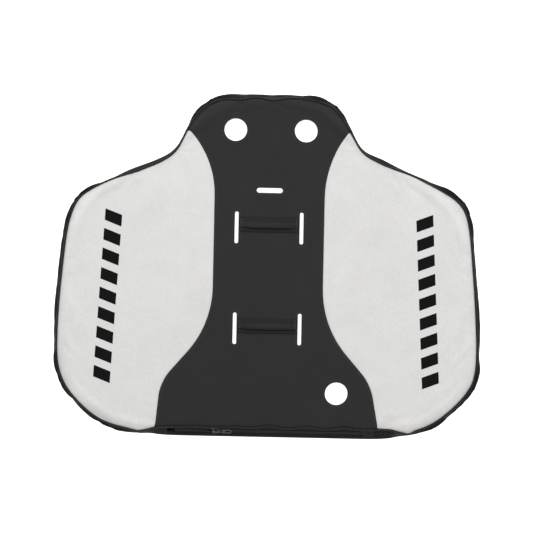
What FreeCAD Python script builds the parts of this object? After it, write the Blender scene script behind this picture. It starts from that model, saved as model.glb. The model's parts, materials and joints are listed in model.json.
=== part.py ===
"""Zipped, padded back protector for a diving harness, lying flat with its front face up.

A foam pad and a stiffener sheet sit in a flat fabric case. The case is a back panel, three front panels
and a gusset band, with piping in both seams and a zip in the gusset along the hem. Three round valve
holes and five webbing slots pass right through, each lined by a sleeve.

Frame, in millimetres: +X is the wearer's right as seen from the front face, +Y is up towards the neck,
+Z is out of the front face. The origin is the centre of the outline on the surface that it lies on.
"""

import FreeCAD
import Part

import math
import os

V = FreeCAD.Vector

# ---- outline: half of it, from the hem up; the other half is its mirror image
WIDTH = 702.0  # flank to flank
HEIGHT = 565.0  # hem to top edge
HEAD_WIDTH = 219.0  # between the top corners
NECK_WIDTH = 305.0  # between the hollows under the head
NECK_DROP = 94.0  # from the top edge to the neck
SHOULDER_IN = 19.0  # the shoulder corner lies this far inside the flank
SHOULDER_DROP = 169.5  # from the top edge to the shoulder
FLANK_IN = 1.2  # the flank's bend lies this far inside its widest line
FLANK_RISE = 205.0  # from the hem to the flank's bend
HIP_RISE = 91.0  # from the hem to the lower corner of the flank
HEM_CUT = 99.0  # how far the hem's end lies inside the flank
HEAD_R = 66.0
NECK_R = 50.0
SHOULDER_R = 82.0
FLANK_R = 500.0
HIP_R = 70.0
HEM_R = 112.0

# ---- layers
BACK_T = 2.5  # back panel, a fabric and foam laminate
FRONT_T = 2.5  # front panels, the same
PAD_T = 15.0  # foam pad
LINING_GAP = 0.8  # over and under the pad, where the flanges and seam tapes lie
BAND_T = 1.2  # gusset fabric
SEAM_T = 0.6  # piping flange
SEAM_GAP = 0.1  # between a bead and the fabric beside it

# ---- seams
FRONT_INSET = 10.0  # front bead, inside the outline
BACK_INSET = 5.0  # back bead, inside the outline
HEM_EXTRA = 5.0  # the front bead lies this much further in along the hem
BEAD_R = 1.6
ALLOWANCE = 9.0  # width of the turned-in seam edges
BEAD_SIDES = 10
BULGE_STEPS = 3  # flats in each quarter of the gusset's bulge

# ---- front panels
WAIST = 181.0  # width of the black centre panel at its waist
WAIST_TOP = 175.0  # the corner above the waist, from the middle of the outline
WAIST_RISE = 185.0  # from the hem to the corner below the waist
TIP_SPREAD = 41.0  # degrees from upright of its edge above the waist
SKIRT_HALF = 173.0  # half width where it turns down to the hem
SKIRT_RISE = 90.0  # from the hem to that corner
SKIRT_SPREAD = 8.0  # degrees from upright below that
WAIST_R = 165.0
SKIRT_R = 82.0
SEAM_TAPE_W = 12.0
SEAM_TAPE_T = 0.5

# ---- valve holes and webbing slots
VALVE_R = 18.75
VALVE_PITCH = 116.0  # between the two upper holes
VALVE_DROP = 59.0  # from the top edge to the upper holes
VALVE_RISE = 74.5  # from the hem to the lower hole
VALVE_LOWER_X = 116.0
SLOT_W = 6.2
SLOT_L = 52.4
SLOT_PITCH_X = 107.0
SLOT_PITCH_Y = 166.4
SLOT_MID_Y = -20.4
TOP_SLOT_W = 8.6
TOP_SLOT_L = 43.0
TOP_SLOT_Y = 124.5
ROUND_END = 0.999  # end radius of a slot, as a share of half its width; the arcs would meet at 1
LINER_T = 1.0  # wall of a liner
LINER_FLANGE = 6.0  # its flange, hidden behind the panel
LINER_FLANGE_T = 0.6
LINER_GAP = 0.05  # between a liner and the panel around it
PAD_HOLE_GAP = 1.5  # between a liner and the foam around it

# ---- pad and stiffener
PAD_CLEAR = 2.0  # between the pad's edge and the seam allowances
PAD_BEVEL = 3.0
SHEET_T = 1.5
SHEET_W = 150.0
SHEET_L = 300.0
SHEET_MID_Y = 0.0
SHEET_R = 20.0
SHEET_GAP = 0.2  # between the sheet and its recess in the pad

# ---- keeper straps between the slots
KEEPER_L = 96.0
KEEPER_W = 23.0
KEEPER_T = 0.8
KEEPER_FLAP_W = 15.5
KEEPER_FLAP_T = 1.4
KEEPER_RISE = 4.5  # above the middle of its slots
TACK_W = 1.8
TACK_T = 0.4
TACK_IN = 2.0  # from the strap's end and edges

# ---- printed bars
PRINT_BARS = 9
PRINT_W = 28.0
PRINT_BAR_L = 19.0
PRINT_L = 286.0
PRINT_SLANT = 9.0
PRINT_X = 263.0
PRINT_Y = -54.0
PRINT_TILT = 3.1  # degrees, tops leaning inwards
PRINT_T = 0.2

# ---- zip
ZIP_HALF = 190.0  # half length of the strips that carry it
ZIP_LOW_Z = 8.0  # outer end of its sloping face, on the outline
ZIP_FOLD_Z = 5.3  # where the back strip turns up, on the outline
ZIP_MID = 11.6  # chain line, from that end up the slope
STRIP_EDGE = 5.8  # from the chain line to the folded edge of each strip
CHAIN_START = -144.0
CHAIN_END = 160.0
PITCH = 2.8
TOOTH_T = 1.3
TOOTH_WAIST_T = 0.8
TOOTH_H = 2.4
TOOTH_BEVEL = 0.3
CHAIN_HALF = 2.6  # chain line to a row's outer edge, closed
TOOTH_LAP = 0.6  # how far a head passes the chain line
TAPE_T = 0.6
TAPE_GRIP = 1.0  # how far the tape's edge runs into the teeth
TAPE_END = 7.4  # chain line to the tape's sewn edge
TAPE_SHORT = 1.0  # the tapes end this far inside the strips
OPEN_HALF = 1.5  # how far each row is spread at the slider's mouth
OPEN_STEPS = 12
END_TAB_L = 16.0
END_TAB_T = 0.7
END_TAB_IN = 162.0  # inner end of the tabs
END_TAB_OVER = (2.0, 0.4)  # how far they lap the back strip and the front strip
STOP_L = 3.0
STOP_GAP = 1.0  # between the first teeth and the top stops
STOP_HALF = 3.6  # half width of the bottom stop

# ---- slider and pull
SLIDER_X = -80.0
SLIDER_HALF = 6.8
MOUTH_HALF = 5.2
TAIL_HALF = 3.8
CHANNEL_GAP = 0.3  # between the slider and the chain and tapes
WING_T = 1.0
WING_R = 1.2
POST_HALF = 0.45
POST_L = 2.4
POST_IN = 0.4  # from the mouth
BRIDGE_L = 9.5
BRIDGE_H = 3.4
BRIDGE_T = 1.1
BRIDGE_W = 2.4
BRIDGE_BEVEL = 1.2
PULL_X = 1.5  # hinge line, from the slider's middle
PULL_RISE = 1.15  # hinge line, above the top wing
PULL_BAR_R = 0.7
PULL_ARM_W = 1.5
PULL_ARM_L = 7.5
PULL_SIDE_GAP = 0.4  # each side of the bridge
PULL_T = 1.5
PULL_TAB_L = 16.0
PULL_TAB_W = 8.0
PULL_FLARE = 2.5  # length over which the arms widen into the tab
PULL_SLOT_L = 7.5
PULL_SLOT_W = 2.4
PULL_RIM = 2.5  # tab left beyond its slot

# ---- heights and places that follow from these
PAD_LOW = BACK_T + LINING_GAP
PAD_TOP = PAD_LOW + PAD_T
FRONT_LOW = PAD_TOP + LINING_GAP
TOP = FRONT_LOW + FRONT_T
BACK_BEAD_Z = BACK_T + SEAM_T / 2
FRONT_BEAD_Z = FRONT_LOW - SEAM_T / 2
BEAD_CLEAR = BEAD_R + SEAM_GAP
TURN_IN = BEAD_R + 0.6  # where the gusset turns in behind a bead
GUSSET_LOW = BACK_BEAD_Z + BEAD_R + 2 * SEAM_GAP
GUSSET_TOP = FRONT_BEAD_Z - BEAD_R
BULGE_Z = (GUSSET_LOW + GUSSET_TOP) / 2
PANEL_INSET = FRONT_INSET + BEAD_CLEAR
SLOT_YS = (SLOT_MID_Y + SLOT_PITCH_Y / 2, SLOT_MID_Y - SLOT_PITCH_Y / 2)
SLOT_XS = (-SLOT_PITCH_X / 2, SLOT_PITCH_X / 2)
WAIST_LOW = WAIST_RISE - HEIGHT / 2
SKIRT_Y = SKIRT_RISE - HEIGHT / 2
THROUGH = (-5.0, TOP + 5.0)  # heights that any cutter spans

# the zip's sloping face runs from the outline up to the turn behind the front bead
SLOPE_RUN = FRONT_INSET + HEM_EXTRA + TURN_IN
SLOPE_RISE = GUSSET_TOP - ZIP_LOW_Z
SLOPE = math.degrees(math.atan2(SLOPE_RISE, SLOPE_RUN))
TAPE_N = -(BAND_T + TAPE_T / 2)  # middle of the tapes, under the face of the strips
TOOTH_LOW = TAPE_N - TOOTH_H / 2
TOOTH_TOP = TAPE_N + TOOTH_H / 2
MOUTH_X = SLIDER_X - SLIDER_HALF


# ---- flat geometry
def fillet(before, corner, after, radius):
    """Tangent points and middle of the arc that rounds a corner."""
    a = (before - corner).normalize()
    b = (after - corner).normalize()
    half = a.getAngle(b) / 2
    reach = radius / math.tan(half)
    bisector = (a + b).normalize()
    middle = corner + bisector * (radius / math.sin(half) - radius)
    return corner + a * reach, middle, corner + b * reach


def rounded_wire(corners, z):
    """A closed wire of lines and tangent arcs round (x, y, radius) corners; radius 0 stays sharp."""
    points = [V(x, y, z) for x, y, r in corners]
    count = len(points)
    ends = []
    for i, (x, y, r) in enumerate(corners):
        if r:
            ends.append(fillet(points[i - 1], points[i], points[(i + 1) % count], r))
        else:
            ends.append((points[i], None, points[i]))
    edges = []
    for i, (start, middle, end) in enumerate(ends):
        if middle:
            edges.append(Part.Arc(start, middle, end).toShape())
        edges.append(Part.LineSegment(end, ends[(i + 1) % count][0]).toShape())
    return Part.Wire(edges)


def outline_corners():
    """The outline's corners, anticlockwise from the hem's right end. Its last side is the hem."""
    low, top, half = -HEIGHT / 2, HEIGHT / 2, WIDTH / 2
    right = [
        (half - HEM_CUT, low, HEM_R),
        (half, low + HIP_RISE, HIP_R),
        (half - FLANK_IN, low + FLANK_RISE, FLANK_R),
        (half - SHOULDER_IN, top - SHOULDER_DROP, SHOULDER_R),
        (NECK_WIDTH / 2, top - NECK_DROP, NECK_R),
        (HEAD_WIDTH / 2, top, HEAD_R),
    ]
    return right + [(-x, y, r) for x, y, r in reversed(right)]


def moved_in(corners, insets):
    """The same corners with each side moved inwards by its own inset, and the radii to suit."""
    count = len(corners)
    sides = []
    for i in range(count):
        a = V(corners[i][0], corners[i][1], 0)
        b = V(corners[(i + 1) % count][0], corners[(i + 1) % count][1], 0)
        along = (b - a).normalize()
        inward = V(-along.y, along.x, 0)
        sides.append((a + inward * insets[i], along))
    result = []
    for i in range(count):
        (p, d), (q, e) = sides[i - 1], sides[i]
        cross = d.x * e.y - d.y * e.x
        t = ((q.x - p.x) * e.y - (q.y - p.y) * e.x) / cross
        meet = p + d * t
        inset = (insets[i - 1] + insets[i]) / 2
        grown = -inset if cross > 0 else inset
        result.append((meet.x, meet.y, corners[i][2] + grown))
    return result


def outline(inset, hem_extra=0.0):
    corners = outline_corners()
    insets = [inset] * (len(corners) - 1) + [inset + hem_extra]
    return moved_in(corners, insets)


def extruded(corners, z0, z1):
    return Part.Face(rounded_wire(corners, z0)).extrude(V(0, 0, z1 - z0))


def box(x0, x1, y0, y1, z0, z1):
    return Part.makeBox(x1 - x0, y1 - y0, z1 - z0, V(x0, y0, z0))


def round_bar(x, y, radius, z0, z1):
    return Part.makeCylinder(radius, z1 - z0, V(x, y, z0))


def slot_bar(x, y, size_x, size_y, z0, z1):
    """A bar with the section of a slot, its ends as good as round."""
    radius = min(size_x, size_y) / 2 * ROUND_END
    hx, hy = size_x / 2, size_y / 2
    corners = [(x - hx, y - hy), (x + hx, y - hy), (x + hx, y + hy), (x - hx, y + hy)]
    return extruded([(cx, cy, radius) for cx, cy in corners], z0, z1)


# ---- geometry that runs round the outline
def hem_share(z):
    """How much of the hem's extra inset a height takes: none up to the bulge, all at the front seam."""
    return min(1.0, max(0.0, (z - BULGE_Z) / (GUSSET_TOP - BULGE_Z)))


def ring(section):
    """A closed band round the outline, from its section's (inset, z) points."""
    wires = [rounded_wire(outline(inset, HEM_EXTRA * hem_share(z)), z) for inset, z in section]
    faces = []
    for i, wire in enumerate(wires):
        faces += Part.makeLoft([wire, wires[(i + 1) % len(wires)]], False, True).Faces
    shell = Part.makeShell(faces)
    shell.sewShape()
    solid = Part.makeSolid(shell)
    if solid.Volume < 0:
        solid.reverse()
    return solid


def banded(path, thickness):
    """The closed section of a fabric band. The path is its outer face; its inner face lies on the right."""
    sides = []
    for (x0, z0), (x1, z1) in zip(path, path[1:]):
        length = math.hypot(x1 - x0, z1 - z0)
        dx, dz = (x1 - x0) / length, (z1 - z0) / length
        across_x, across_z = dz * thickness, -dx * thickness
        sides.append((x0 + across_x, z0 + across_z, x1 + across_x, z1 + across_z, dx, dz))
    inner = [sides[0][:2]]
    for (ax, az, _, _, adx, adz), (bx, bz, _, _, bdx, bdz) in zip(sides, sides[1:]):
        cross = adx * bdz - adz * bdx
        t = ((bx - ax) * bdz - (bz - az) * bdx) / cross
        inner.append((ax + adx * t, az + adz * t))
    inner.append(sides[-1][2:4])
    return list(path) + inner[::-1]


def bead(inset, z):
    """The section of a piping: a round bead with its flange turned inwards."""
    half = SEAM_T / 2
    first = math.asin(half / BEAD_R)
    sweep = 2 * (math.pi - first)
    section = [(inset + ALLOWANCE, z - half), (inset + ALLOWANCE, z + half)]
    for i in range(BEAD_SIDES + 1):
        angle = first + sweep * i / BEAD_SIDES
        section.append((inset + BEAD_R * math.cos(angle), z + BEAD_R * math.sin(angle)))
    return section


def quarter(start, end, centre_z, steps):
    """Points on a quarter ellipse of the bulge between (inset, z) ends, one of them on the outline."""
    turns_in = end[0] > start[0]
    reach, far_z = end if turns_in else start
    points = []
    for i in range(steps + 1):
        share = i / steps if turns_in else 1 - i / steps
        angle = share * math.pi / 2
        points.append((reach * (1 - math.cos(angle)), centre_z + (far_z - centre_z) * math.sin(angle)))
    return points


BACK_TURN = BACK_INSET + TURN_IN
FRONT_TURN = FRONT_INSET + TURN_IN
BACK_SEAM_PATH = [(BACK_INSET + ALLOWANCE, BACK_T + SEAM_T), (BACK_TURN, BACK_T + SEAM_T)]
FRONT_SEAM_PATH = [(FRONT_TURN, FRONT_LOW - SEAM_T), (FRONT_INSET + ALLOWANCE, FRONT_LOW - SEAM_T)]


def gusset_ring():
    path = list(BACK_SEAM_PATH)
    path += quarter((BACK_TURN, GUSSET_LOW), (0, BULGE_Z), BULGE_Z, BULGE_STEPS)
    path += quarter((0, BULGE_Z), (FRONT_TURN, GUSSET_TOP), BULGE_Z, BULGE_STEPS)[1:]
    path += FRONT_SEAM_PATH
    return ring(banded(path, BAND_T))


def gusset_bands():
    """The gusset outside the zip: a length over the head and one down each side."""
    whole = gusset_ring()
    neck = HEIGHT / 2 - NECK_DROP
    reach = WIDTH
    hem = box(-ZIP_HALF, ZIP_HALF, -reach, -HEIGHT / 2 + FRONT_INSET + HEM_EXTRA + ALLOWANCE + 1, *THROUGH)
    above = box(-reach, reach, neck, reach, *THROUGH)
    left = box(-reach, 0, -reach, neck, *THROUGH)
    right = box(0, reach, -reach, neck, *THROUGH)
    return whole.common(above), whole.common(left).cut(hem), whole.common(right).cut(hem)


# ---- panels, pad and what passes through them
def centre_corners(widen=0.0):
    """Corners of the centre panel's shape, run out past the outline at both ends."""
    tip, skirt = math.radians(TIP_SPREAD), math.radians(SKIRT_SPREAD)
    half = WAIST / 2
    tip_run = (HEIGHT - WAIST_TOP) / 2
    skirt_run = SKIRT_RISE + ALLOWANCE
    right = [
        (SKIRT_HALF + skirt_run * math.tan(skirt), SKIRT_Y - skirt_run, 0),
        (SKIRT_HALF, SKIRT_Y, SKIRT_R),
        (half, WAIST_LOW, WAIST_R),
        (half, WAIST_TOP, WAIST_R),
        (half + tip_run * math.tan(tip), WAIST_TOP + tip_run, 0),
    ]
    corners = right + [(-x, y, r) for x, y, r in reversed(right)]
    if widen:
        moved = moved_in(corners, [-widen] * len(corners))
        corners = [(x, y, r if before[2] else 0) for (x, y, r), before in zip(moved, corners)]
    return corners


def centre_shape(z0, z1, widen=0.0):
    return extruded(centre_corners(widen), z0, z1)


def valve_places():
    return {
        "left": (-VALVE_PITCH / 2, HEIGHT / 2 - VALVE_DROP),
        "right": (VALVE_PITCH / 2, HEIGHT / 2 - VALVE_DROP),
        "lower": (VALVE_LOWER_X, VALVE_RISE - HEIGHT / 2),
    }


def slot_places():
    """Each slot's name, centre and size along X and Y."""
    places = {"top": (0, TOP_SLOT_Y, TOP_SLOT_L, TOP_SLOT_W)}
    for row, y in zip(("upper", "lower"), SLOT_YS):
        for side, x in zip(("left", "right"), SLOT_XS):
            places[f"{row}_{side}"] = (x, y, SLOT_W, SLOT_L)
    return places


def cutters(gap):
    """Bars through every hole and slot, wider than its liner by gap."""
    grow = LINER_T + gap
    bars = [round_bar(x, y, VALVE_R + grow, *THROUGH) for x, y in valve_places().values()]
    bars += [slot_bar(x, y, w + 2 * grow, h + 2 * grow, *THROUGH) for x, y, w, h in slot_places().values()]
    return bars


def liner(bar):
    """A sleeve between the outer faces, flanged behind each panel; bar(grow, z0, z1) makes its parts."""
    sleeve = bar(LINER_T, 0, TOP)
    for z0 in (BACK_T, FRONT_LOW - LINER_FLANGE_T):
        sleeve = sleeve.fuse(bar(LINER_T + LINER_FLANGE, z0, z0 + LINER_FLANGE_T))
    return sleeve.cut(bar(0, *THROUGH)).removeSplitter()


def valve_liner(place):
    x, y = place
    return liner(lambda grow, z0, z1: round_bar(x, y, VALVE_R + grow, z0, z1))


def slot_liner(place):
    x, y, w, h = place
    return liner(lambda grow, z0, z1: slot_bar(x, y, w + 2 * grow, h + 2 * grow, z0, z1))


def back_panel():
    return extruded(outline(BACK_INSET + BEAD_CLEAR), 0, BACK_T).cut(cutters(LINER_GAP))


def front_panels():
    whole = extruded(outline(PANEL_INSET, HEM_EXTRA), FRONT_LOW, TOP)
    middle = centre_shape(FRONT_LOW, TOP)
    sides = whole.cut(middle).Solids
    sides.sort(key=lambda solid: solid.CenterOfMass.x)
    return whole.common(middle).cut(cutters(LINER_GAP)), sides[0], sides[1]


def seam_tapes():
    """A tape behind each seam between the centre panel and a side panel, short of the piping's flange."""
    low = FRONT_LOW - SEAM_TAPE_T
    tape = centre_shape(low, FRONT_LOW, SEAM_TAPE_W / 2).cut(centre_shape(low - 1, TOP, -SEAM_TAPE_W / 2))
    inside = extruded(outline(FRONT_INSET + ALLOWANCE + 1, HEM_EXTRA), low, FRONT_LOW)
    parts = sorted(tape.common(inside).Solids, key=lambda solid: solid.CenterOfMass.x)
    return [s for s in parts if abs(s.CenterOfMass.x) > WAIST / 4]


def stiffener_sheet(grow=0.0):
    hx, hy = SHEET_W / 2 + grow, SHEET_L / 2 + grow
    corners = [(-hx, -hy), (hx, -hy), (hx, hy), (-hx, hy)]
    shape = [(x, y + SHEET_MID_Y, SHEET_R + grow) for x, y in corners]
    return extruded(shape, PAD_LOW, PAD_LOW + SHEET_T + grow)


def foam_pad():
    edge = FRONT_INSET + ALLOWANCE + PAD_CLEAR
    levels = [
        (edge + PAD_BEVEL, PAD_LOW),
        (edge, PAD_LOW + PAD_BEVEL),
        (edge, PAD_TOP - PAD_BEVEL),
        (edge + PAD_BEVEL, PAD_TOP),
    ]
    wires = [rounded_wire(outline(inset, HEM_EXTRA), z) for inset, z in levels]
    pad = Part.makeLoft(wires, True, True)
    return pad.cut(stiffener_sheet(SHEET_GAP)).cut(cutters(PAD_HOLE_GAP))


# ---- straps and print on the front
def keeper(slot_y):
    """A keeper strap between a pair of slots: its base tape, its folded flap and its end tacks."""
    half = KEEPER_L / 2
    top = slot_y + KEEPER_RISE + KEEPER_W / 2
    low = top - KEEPER_W
    flap_low = top - KEEPER_FLAP_W
    flap_z = TOP + KEEPER_T
    tack_z = flap_z + KEEPER_FLAP_T
    base = box(-half, half, low, top, TOP, flap_z)
    flap = box(-half, half, flap_low, top, flap_z, tack_z)
    tacks = []
    for side in (-1, 1):
        x = side * (half - TACK_IN - TACK_W / 2)
        ends = (flap_low + TACK_IN, top - TACK_IN, tack_z, tack_z + TACK_T)
        tacks.append(box(x - TACK_W / 2, x + TACK_W / 2, *ends))
    return base, flap, tacks


def printed_bars(side):
    """A column of plain slanted bars."""
    step = (PRINT_L - PRINT_BAR_L - PRINT_SLANT) / (PRINT_BARS - 1)
    bars = []
    for i in range(PRINT_BARS):
        y = (i - (PRINT_BARS - 1) / 2) * step
        half, rise, lean = PRINT_W / 2, PRINT_BAR_L / 2, PRINT_SLANT / 2
        corners = [
            (-half, y - rise - lean, 0),
            (half, y - rise + lean, 0),
            (half, y + rise + lean, 0),
            (-half, y + rise - lean, 0),
        ]
        bar = extruded(corners, TOP, TOP + PRINT_T)
        bar.rotate(V(0, 0, 0), V(0, 0, 1), PRINT_TILT)
        bar.translate(V(PRINT_X, PRINT_Y, 0))
        bars.append(bar if side > 0 else bar.mirror(V(0, 0, 0), V(1, 0, 0)))
    return bars


# ---- zip, built flat along X with v up the slope and n out of it, then placed on the slope
def on_slope(shape):
    placed = shape.copy()
    placed.rotate(V(0, 0, 0), V(1, 0, 0), SLOPE)
    placed.translate(V(0, -HEIGHT / 2, ZIP_LOW_Z))
    return placed


def slope_point(v):
    """(inset, z) of a point v up the slope's face."""
    a = math.radians(SLOPE)
    return v * math.cos(a), ZIP_LOW_Z + v * math.sin(a)


def strip(section):
    """A fabric strip along the hem, from its section's (inset, z) points."""
    points = [V(-ZIP_HALF, inset - HEIGHT / 2, z) for inset, z in section]
    face = Part.Face(Part.makePolygon(points + points[:1]))
    return face.extrude(V(2 * ZIP_HALF, 0, 0))


def zip_strips():
    """The strip from the front seam down to the zip, and the strip from the zip round to the back seam."""
    front = [slope_point(ZIP_MID + STRIP_EDGE), (FRONT_TURN + HEM_EXTRA, GUSSET_TOP)]
    front += [(inset + HEM_EXTRA, z) for inset, z in FRONT_SEAM_PATH]
    back = BACK_SEAM_PATH + [(BACK_TURN, GUSSET_LOW), (0, ZIP_FOLD_Z), (0, ZIP_LOW_Z)]
    back += [slope_point(ZIP_MID - STRIP_EDGE)]
    return strip(banded(front, BAND_T)), strip(banded(back, BAND_T))


def spread(x):
    """How far each row of teeth stands off the chain line, which is open from its start to the slider."""
    if x <= MOUTH_X:
        return OPEN_HALF * max(0.0, (x - CHAIN_START) / (MOUTH_X - CHAIN_START)) ** 3
    return OPEN_HALF * max(0.0, 1 - (x - MOUTH_X) / SLIDER_HALF)


def flat_tape(side):
    """A zip tape; its inner edge follows the row of teeth."""
    opening = MOUTH_X - CHAIN_START
    xs = [TAPE_SHORT - ZIP_HALF]
    xs += [CHAIN_START + opening * i / OPEN_STEPS for i in range(OPEN_STEPS + 1)]
    xs += [SLIDER_X, ZIP_HALF - TAPE_SHORT]
    edge = [(x, ZIP_MID + side * (CHAIN_HALF - TAPE_GRIP + spread(x)), 0) for x in xs]
    far = ZIP_MID + side * TAPE_END
    corners = edge + [(xs[-1], far, 0), (xs[0], far, 0)]
    return extruded(corners, TAPE_N - TAPE_T / 2, TAPE_N + TAPE_T / 2)


def flat_tooth(x, side):
    """One tooth: a foot that grips the tape, a waist and a head that passes the chain line."""
    half, waist = TOOTH_T / 2, TOOTH_WAIST_T / 2
    foot = CHAIN_HALF - TAPE_GRIP
    neck = foot / 2
    head = neck - 2 * TOOTH_BEVEL
    profile = [
        (half - TOOTH_BEVEL, -TOOTH_LAP),
        (half, TOOTH_BEVEL - TOOTH_LAP),
        (half, head),
        (waist, neck),
        (half, foot),
        (half, CHAIN_HALF),
    ]
    profile += [(-u, v) for u, v in reversed(profile)]
    corners = [(x + u, ZIP_MID + side * (v + spread(x)), 0) for u, v in profile]
    return extruded(corners, TOOTH_LOW, TOOTH_TOP)


def teeth(side):
    offset = 0 if side > 0 else PITCH / 2
    count = int((CHAIN_END - CHAIN_START - offset - TOOTH_T) / PITCH) + 1
    first = CHAIN_START + offset + TOOTH_T / 2
    gripped = flat_tape(side)
    return [on_slope(flat_tooth(first + PITCH * i, side).cut(gripped)) for i in range(count)]


def flat_block(x0, x1, v0, v1, n0, n1):
    return on_slope(box(x0, x1, ZIP_MID + v0, ZIP_MID + v1, n0, n1))


def zip_stops():
    """A stop on each row before the chain starts, and one block across both rows where it ends."""
    low = TAPE_N + TAPE_T / 2
    x1 = CHAIN_START - STOP_GAP
    back = flat_block(x1 - STOP_L, x1, -CHAIN_HALF, -STOP_GAP / 2, low, TOOTH_TOP)
    front = flat_block(x1 - STOP_L, x1, STOP_GAP / 2, CHAIN_HALF, low, TOOTH_TOP)
    bottom = flat_block(CHAIN_END, CHAIN_END + STOP_L, -STOP_HALF, STOP_HALF, low, TOOTH_TOP)
    return back, front, bottom


def end_tab(side):
    """A folded fabric tab over the end of the zip."""
    x0, x1 = sorted((side * END_TAB_IN, side * (END_TAB_IN + END_TAB_L)))
    over_back, over_front = END_TAB_OVER
    return flat_block(x0, x1, -STRIP_EDGE - over_back, STRIP_EDGE + over_front, 0, END_TAB_T)


def slider_body():
    """Two wings joined by a post at the mouth, with side walls that leave a slot for each tape."""
    h = SLIDER_HALF
    top = TOOTH_TOP + CHANNEL_GAP
    low = TOOTH_LOW - CHANNEL_GAP
    sides = [(-h, MOUTH_HALF, WING_R), (0, MOUTH_HALF, WING_R), (h, TAIL_HALF, WING_R)]
    shape = [(x, -v, r) for x, v, r in sides] + sides[::-1]
    mouth = CHAIN_HALF + OPEN_HALF + CHANNEL_GAP
    tail = CHAIN_HALF + CHANNEL_GAP
    ways = [(-h - 1, mouth, 0), (WING_R - h, mouth, 0), (WING_R, tail, 0), (h + 1, tail, 0)]
    channel = [(x, -v, r) for x, v, r in ways] + ways[::-1]
    walls = extruded(shape, low, top).cut(extruded(channel, low - 1, top + 1))
    slot = TAPE_T / 2 + CHANNEL_GAP
    walls = walls.cut(box(-h - 1, h + 1, -MOUTH_HALF - 1, MOUTH_HALF + 1, TAPE_N - slot, TAPE_N + slot))
    start = POST_IN - h
    post = [(start, -POST_HALF, 0), (start + POST_L, 0, 0), (start, POST_HALF, 0)]
    wings = [extruded(shape, top, top + WING_T), extruded(shape, low - WING_T, low)]
    body = wings[0].fuse([wings[1], walls, extruded(post, low, top)])
    body.translate(V(SLIDER_X, ZIP_MID, 0))
    return on_slope(body.removeSplitter())


WING_TOP = TOOTH_TOP + CHANNEL_GAP + WING_T


def arch(reach, height, bevel):
    side = [(reach, 0), (reach, height - bevel), (reach - bevel, height)]
    outline_points = side + [(-x, z) for x, z in reversed(side)]
    points = [V(SLIDER_X + x, ZIP_MID - BRIDGE_W / 2, WING_TOP + z) for x, z in outline_points]
    return Part.Face(Part.makePolygon(points + points[:1])).extrude(V(0, BRIDGE_W, 0))


def bridge():
    """The arch over the top wing that holds the pull."""
    whole = arch(BRIDGE_L / 2, BRIDGE_H, BRIDGE_BEVEL)
    return on_slope(whole.cut(arch(BRIDGE_L / 2 - BRIDGE_T, BRIDGE_H - BRIDGE_T, BRIDGE_BEVEL / 2)))


def pull_tab():
    """A bar through the bridge, two arms and a flat tab with a grip slot."""
    inner = BRIDGE_W / 2 + PULL_SIDE_GAP
    outer = inner + PULL_ARM_W
    half, wide = PULL_T / 2, PULL_TAB_W / 2
    start, flared, end = PULL_ARM_L, PULL_ARM_L + PULL_FLARE, PULL_ARM_L + PULL_TAB_L
    pull = Part.makeCylinder(PULL_BAR_R, 2 * outer, V(0, -outer, 0), V(0, 1, 0))
    arms = []
    for low in (-outer, inner):
        arms.append(box(0, flared, low, low + PULL_ARM_W, -half, half))
        arms.append(Part.makeCylinder(half, PULL_ARM_W, V(0, low, 0), V(0, 1, 0)))
    upper = [(start, outer, 0), (flared, wide, PULL_T), (end, wide, 2 * PULL_T)]
    tab = [(x, -y, r) for x, y, r in upper] + upper[::-1]
    pull = pull.fuse(arms + [extruded(tab, -half, half)])
    grip = slot_bar(end - PULL_RIM - PULL_SLOT_L / 2, 0, PULL_SLOT_L, PULL_SLOT_W, -PULL_T, PULL_T)
    pull = pull.cut(grip).removeSplitter()
    pull.translate(V(SLIDER_X + PULL_X, ZIP_MID, WING_TOP + PULL_RISE))
    return on_slope(pull)


# ---- writing the pieces
def save(name, *shapes):
    """Writes one piece as STEP, and stops if a solid isn't closed and valid."""
    solids = [solid for shape in shapes for solid in shape.Solids]
    for solid in solids:
        if not solid.isValid() or solid.Volume <= 0:
            raise ValueError(f"{name} has a faulty solid")
    whole = solids[0] if len(solids) == 1 else Part.makeCompound(solids)
    whole.exportStep(f"parts/{name}.step")
    print(f"{name}: {len(solids)} solids, {sum(s.Volume for s in solids) / 1000:.2f} cm3")


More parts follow.
